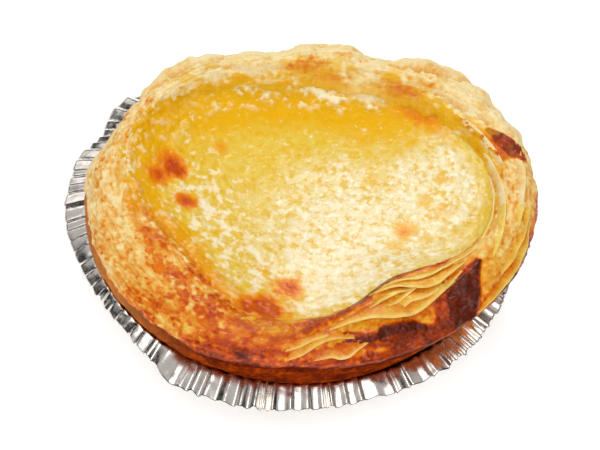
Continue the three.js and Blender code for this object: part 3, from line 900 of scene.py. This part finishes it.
# Baked egg custard: a moist skin that shines over a milky, faintly translucent yellow.
CURD, FROTH, FOAM = 1.5, 1.0, 1.9
custard, tree = new_material("baked_egg_custard")
place = add_node(tree, "ShaderNodeTexCoord").outputs["Object"]
curd = speckle(tree, place, CURD, 5.0, 0.65)
curd_colour = add_node(
    tree,
    "ShaderNodeValToRGB",
    {"Fac": curd},
    stops=[(0.32, "#EAB620"), (0.46, "#EAC338"), (0.62, "#EBCD5A")],
).outputs["Color"]
golden_and_shade = mask_of(tree, "golden_and_shade")
custard_colour = mixed(tree, golden_and_shade, curd_colour, colour("#EEB400"))
froth = speckle(tree, place, FROTH, 4.0, 0.6)
painted_highlight = mask_of(tree, "painted_highlight")
# The pale flecks and veil mixed in below are a painted highlight.
highlight_fleck_level = add_node(
    tree, "ShaderNodeMapRange", {"Value": painted_highlight, "To Min": 0.66, "To Max": 0.5}
).outputs["Result"]
highlight_fleck_height = add_node(tree, "ShaderNodeMath", {0: froth, 1: highlight_fleck_level}, operation="SUBTRACT").outputs[0]
highlight_fleck = add_node(
    tree, "ShaderNodeMapRange", {"Value": highlight_fleck_height, "From Min": -0.02, "From Max": 0.12, "To Max": 0.85}
).outputs["Result"]
creamy = add_node(
    tree, "ShaderNodeMapRange", {"Value": curd, "From Min": 0.4, "From Max": 0.56, "To Min": 0.12}
).outputs["Result"]
highlight_veiled = add_node(tree, "ShaderNodeMath", {0: painted_highlight, 1: creamy}, operation="MULTIPLY").outputs[0]
custard_colour = mixed(tree, highlight_veiled, custard_colour, colour("#F6E6B6"))
custard_colour = mixed(tree, highlight_fleck, custard_colour, colour("#FFF6DC"))
foam = speckle(tree, place, FOAM, 2.5, 0.6)
foamy = mask_of(tree, "foamy")
foam_level = add_node(
    tree, "ShaderNodeMapRange", {"Value": foamy, "To Min": 0.68, "To Max": 0.47}
).outputs["Result"]
foam_height = add_node(tree, "ShaderNodeMath", {0: foam, 1: foam_level}, operation="SUBTRACT").outputs[0]
foam_patch = add_node(
    tree, "ShaderNodeMapRange", {"Value": foam_height, "From Min": -0.02, "From Max": 0.13, "To Max": 0.9}
).outputs["Result"]
custard_colour = mixed(tree, foam_patch, custard_colour, colour("#FFF0CC"))
crusted = mask_of(tree, "crusted")
custard_colour = mixed(tree, crusted, custard_colour, colour("#FFEFC4"))
spots_and_shade = mask_of(tree, "spots_and_shade")
spots_and_shade = add_node(tree, "ShaderNodeMath", {0: spots_and_shade, 1: curd, 2: spots_and_shade}, operation="MULTIPLY_ADD").outputs[0]
spotted_and_shaded = add_node(
    tree, "ShaderNodeMapRange", {"Value": spots_and_shade, "From Min": 0.08, "From Max": 0.6}
).outputs["Result"]
spot_and_shade_depth = add_node(tree, "ShaderNodeMath", {0: spots_and_shade, 1: 0.6}, operation="MULTIPLY").outputs[0]
spot_and_shade_colour = add_node(
    tree,
    "ShaderNodeValToRGB",
    {"Fac": spot_and_shade_depth},
    stops=[(0.15, "#F0AC0E"), (0.45, "#EE8C08"), (0.75, "#E06806"), (1.0, "#C04406")],
).outputs["Color"]
custard_colour = mixed(tree, spotted_and_shaded, custard_colour, spot_and_shade_colour)
raised = add_node(
    tree, "ShaderNodeBump", {"Height": froth, "Strength": 0.5, "Distance": 0.25 * MM}
).outputs["Normal"]
skin = add_node(
    tree,
    "ShaderNodeBsdfPrincipled",
    {
        "Base Color": custard_colour,
        "Roughness": 0.3,
        "IOR": 1.42,
        "Specular IOR Level": 0.3,
        "Subsurface Weight": 0.2,
        "Subsurface Radius": (1.0, 0.6, 0.2),
        "Subsurface Scale": 1.5 * MM,
        "Normal": raised,
    },
).outputs["BSDF"]
add_node(tree, "ShaderNodeOutputMaterial", {"Surface": skin})
finished("baked_custard", shell, custard, "egg_custard")

# ----------------------------------------------------------------------------------------------------------
# The studio. A white table top, soft lights behind the tart and over the camera, surroundings that are dark
# low down and pale higher up, and the camera, which looks down on the tart through a long lens.

FLOOR_SIZE = 6000
floor_shape = bmesh.new()
bmesh.ops.create_grid(floor_shape, x_segments=1, y_segments=1, size=FLOOR_SIZE / 2 * MM)
mesh = bpy.data.meshes.new("floor")
floor_shape.to_mesh(mesh)
floor_shape.free()
floor = bpy.data.objects.new("floor", mesh)
bpy.context.scene.collection.objects.link(floor)

# Matt white laminate. A little light of its own gives the eye a white ground with a soft, faint shadow.
FLOOR_GLOW = 0.355
white_table, tree = new_material("white_table")
card = add_node(
    tree,
    "ShaderNodeBsdfPrincipled",
    {
        "Base Color": colour("#F4F4F4"),
        "Roughness": 0.9,
        "Emission Color": colour("#FFFFFF"),
        "Emission Strength": FLOOR_GLOW,
    },
).outputs["BSDF"]
add_node(tree, "ShaderNodeOutputMaterial", {"Surface": card})
mesh.materials.append(white_table)

TARGET = Vector((0, 0, 13.5))
CAMERA_ELEVATION = 51.0
CAMERA_ROLL = 6.5
CAMERA_DISTANCE = 520.0
CAMERA_LENS = 177.3
AIM = (1.32, -0.95)  # the middle of the view, right and up of the target


def direction(azimuth, elevation):
    return Vector(
        (
            math.cos(math.radians(elevation)) * math.cos(math.radians(azimuth)),
            math.cos(math.radians(elevation)) * math.sin(math.radians(azimuth)),
            math.sin(math.radians(elevation)),
        )
    )


back = direction(-90, CAMERA_ELEVATION)
roll = math.radians(CAMERA_ROLL)
level_up = back.cross(Vector((1, 0, 0)))
right = Vector((1, 0, 0)) * math.cos(roll) + level_up * math.sin(roll)
up = level_up * math.cos(roll) - Vector((1, 0, 0)) * math.sin(roll)
lens = bpy.data.cameras.new("camera")
lens.lens = CAMERA_LENS
lens.clip_start = 0.01
camera = bpy.data.objects.new("camera", lens)
bpy.context.scene.collection.objects.link(camera)
spot = (TARGET + right * AIM[0] + up * AIM[1] + back * CAMERA_DISTANCE) * MM
camera.matrix_world = Matrix.Translation(spot) @ Matrix((right, up, back)).transposed().to_4x4()
bpy.context.scene.camera = camera


def softbox(name, azimuth, elevation, distance, size, power, mirrored=True):
    """A light aimed at the tart. One that isn't mirrored brightens it without a glint on foil or glaze."""
    light = bpy.data.lights.new(name, "AREA")
    light.shape = "RECTANGLE"
    light.size, light.size_y = (side * MM for side in size)
    light.energy = power
    holder = bpy.data.objects.new(name, light)
    bpy.context.scene.collection.objects.link(holder)
    holder.visible_glossy = mirrored
    holder.location = direction(azimuth, elevation) * distance * MM + TARGET * MM
    holder.rotation_mode = "QUATERNION"
    holder.rotation_quaternion = direction(azimuth, elevation).to_track_quat("Z", "Y")


softbox("key_softbox", 98, 40, 700, (250, 190), 1.85)
softbox("camera_side_fill", -95, 50, 800, (560, 720), 0.9, False)
softbox("right_side_fill", -15, 48, 800, (400, 400), 0.45, False)
softbox("low_front_fill", -88, 16, 900, (500, 260), 1.1, False)
softbox("camera_side_card", -95, 54, 800, (560, 640), 2.25)
softbox("left_card", 146, 30, 700, (320, 220), 0.2)

# What the foil and the glaze mirror, and a plain pale backdrop for the camera.
SKY_TILT = -0.05  # how much further down the pale part reaches on the left
SKY_STRENGTH = 0.54
world = bpy.data.worlds.new("studio")
bpy.context.scene.world = world
world.use_nodes = True
tree = world.node_tree
tree.nodes.clear()
way = add_node(tree, "ShaderNodeTexCoord").outputs["Generated"]
parts = add_node(tree, "ShaderNodeSeparateXYZ", {"Vector": way}).outputs
height = add_node(
    tree, "ShaderNodeMath", {0: parts["X"], 1: SKY_TILT, 2: parts["Z"]}, operation="MULTIPLY_ADD"
).outputs[0]
sky = add_node(
    tree,
    "ShaderNodeValToRGB",
    {"Fac": height},
    stops=[(0.0, "#181818"), (0.45, "#2C2C2C"), (0.58, "#F4F4F4"), (0.88, "#F4F4F4"), (1.0, "#8C8C8C")],
).outputs["Color"]
studio = add_node(
    tree, "ShaderNodeBackground", {"Color": sky, "Strength": SKY_STRENGTH}
).outputs["Background"]
backdrop = add_node(tree, "ShaderNodeBackground", {"Color": colour("#F2F2F2")}).outputs["Background"]
seen = add_node(tree, "ShaderNodeLightPath").outputs["Is Camera Ray"]
shown = add_node(tree, "ShaderNodeMixShader", {0: seen, 1: studio, 2: backdrop}).outputs[0]
add_node(tree, "ShaderNodeOutputWorld", {"Surface": shown})

bpy.context.scene.view_settings.view_transform = "Standard"
